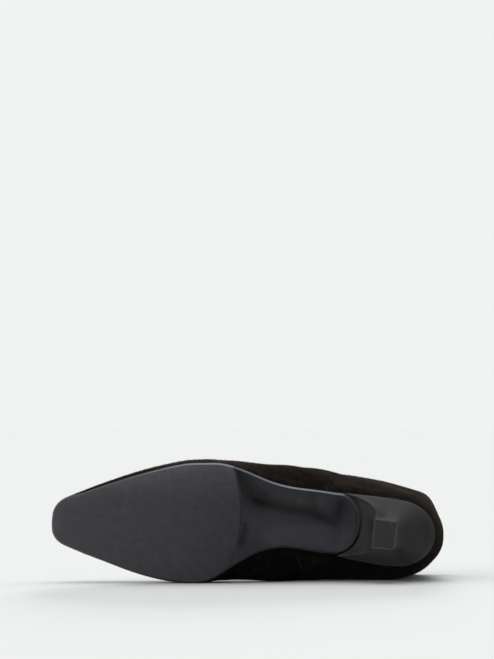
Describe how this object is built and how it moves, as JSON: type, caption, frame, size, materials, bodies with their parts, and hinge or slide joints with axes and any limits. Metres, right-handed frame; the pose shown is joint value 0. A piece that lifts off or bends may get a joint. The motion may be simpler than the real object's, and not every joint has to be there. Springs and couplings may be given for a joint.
{
  "type": "ankle boot",
  "caption": "Left pull-on ankle boot with a pointed square toe, hollow suede upper, moulded sole and tapered block heel, lying on its inner side",
  "frame": {"origin": "on the floor under the middle of the bounding box, the boot lying on its inner (medial) side", "axes": "toe towards -X and heel towards +X, sole facing -Y and collar opening towards +Y, outer (lateral) side up at +Z"},
  "size_m": [0.263, 0.1747, 0.0841],
  "materials": {
    "outsole": "moulded black sole, semi-matt, fine diagonal ribs under the forepart",
    "heel": "black moulded heel block, satin",
    "top_lift": "black wearing piece with a fine grain",
    "upper": "black suede, nap outwards, unlined look kept plain",
    "insole": "dark sock leather, smooth"
  },
  "bodies": {
    "root": {"outsole": "outsole", "heel": "heel", "top_lift": "top_lift", "upper": "upper", "insole": "insole"}
  },
  "joints": []
}
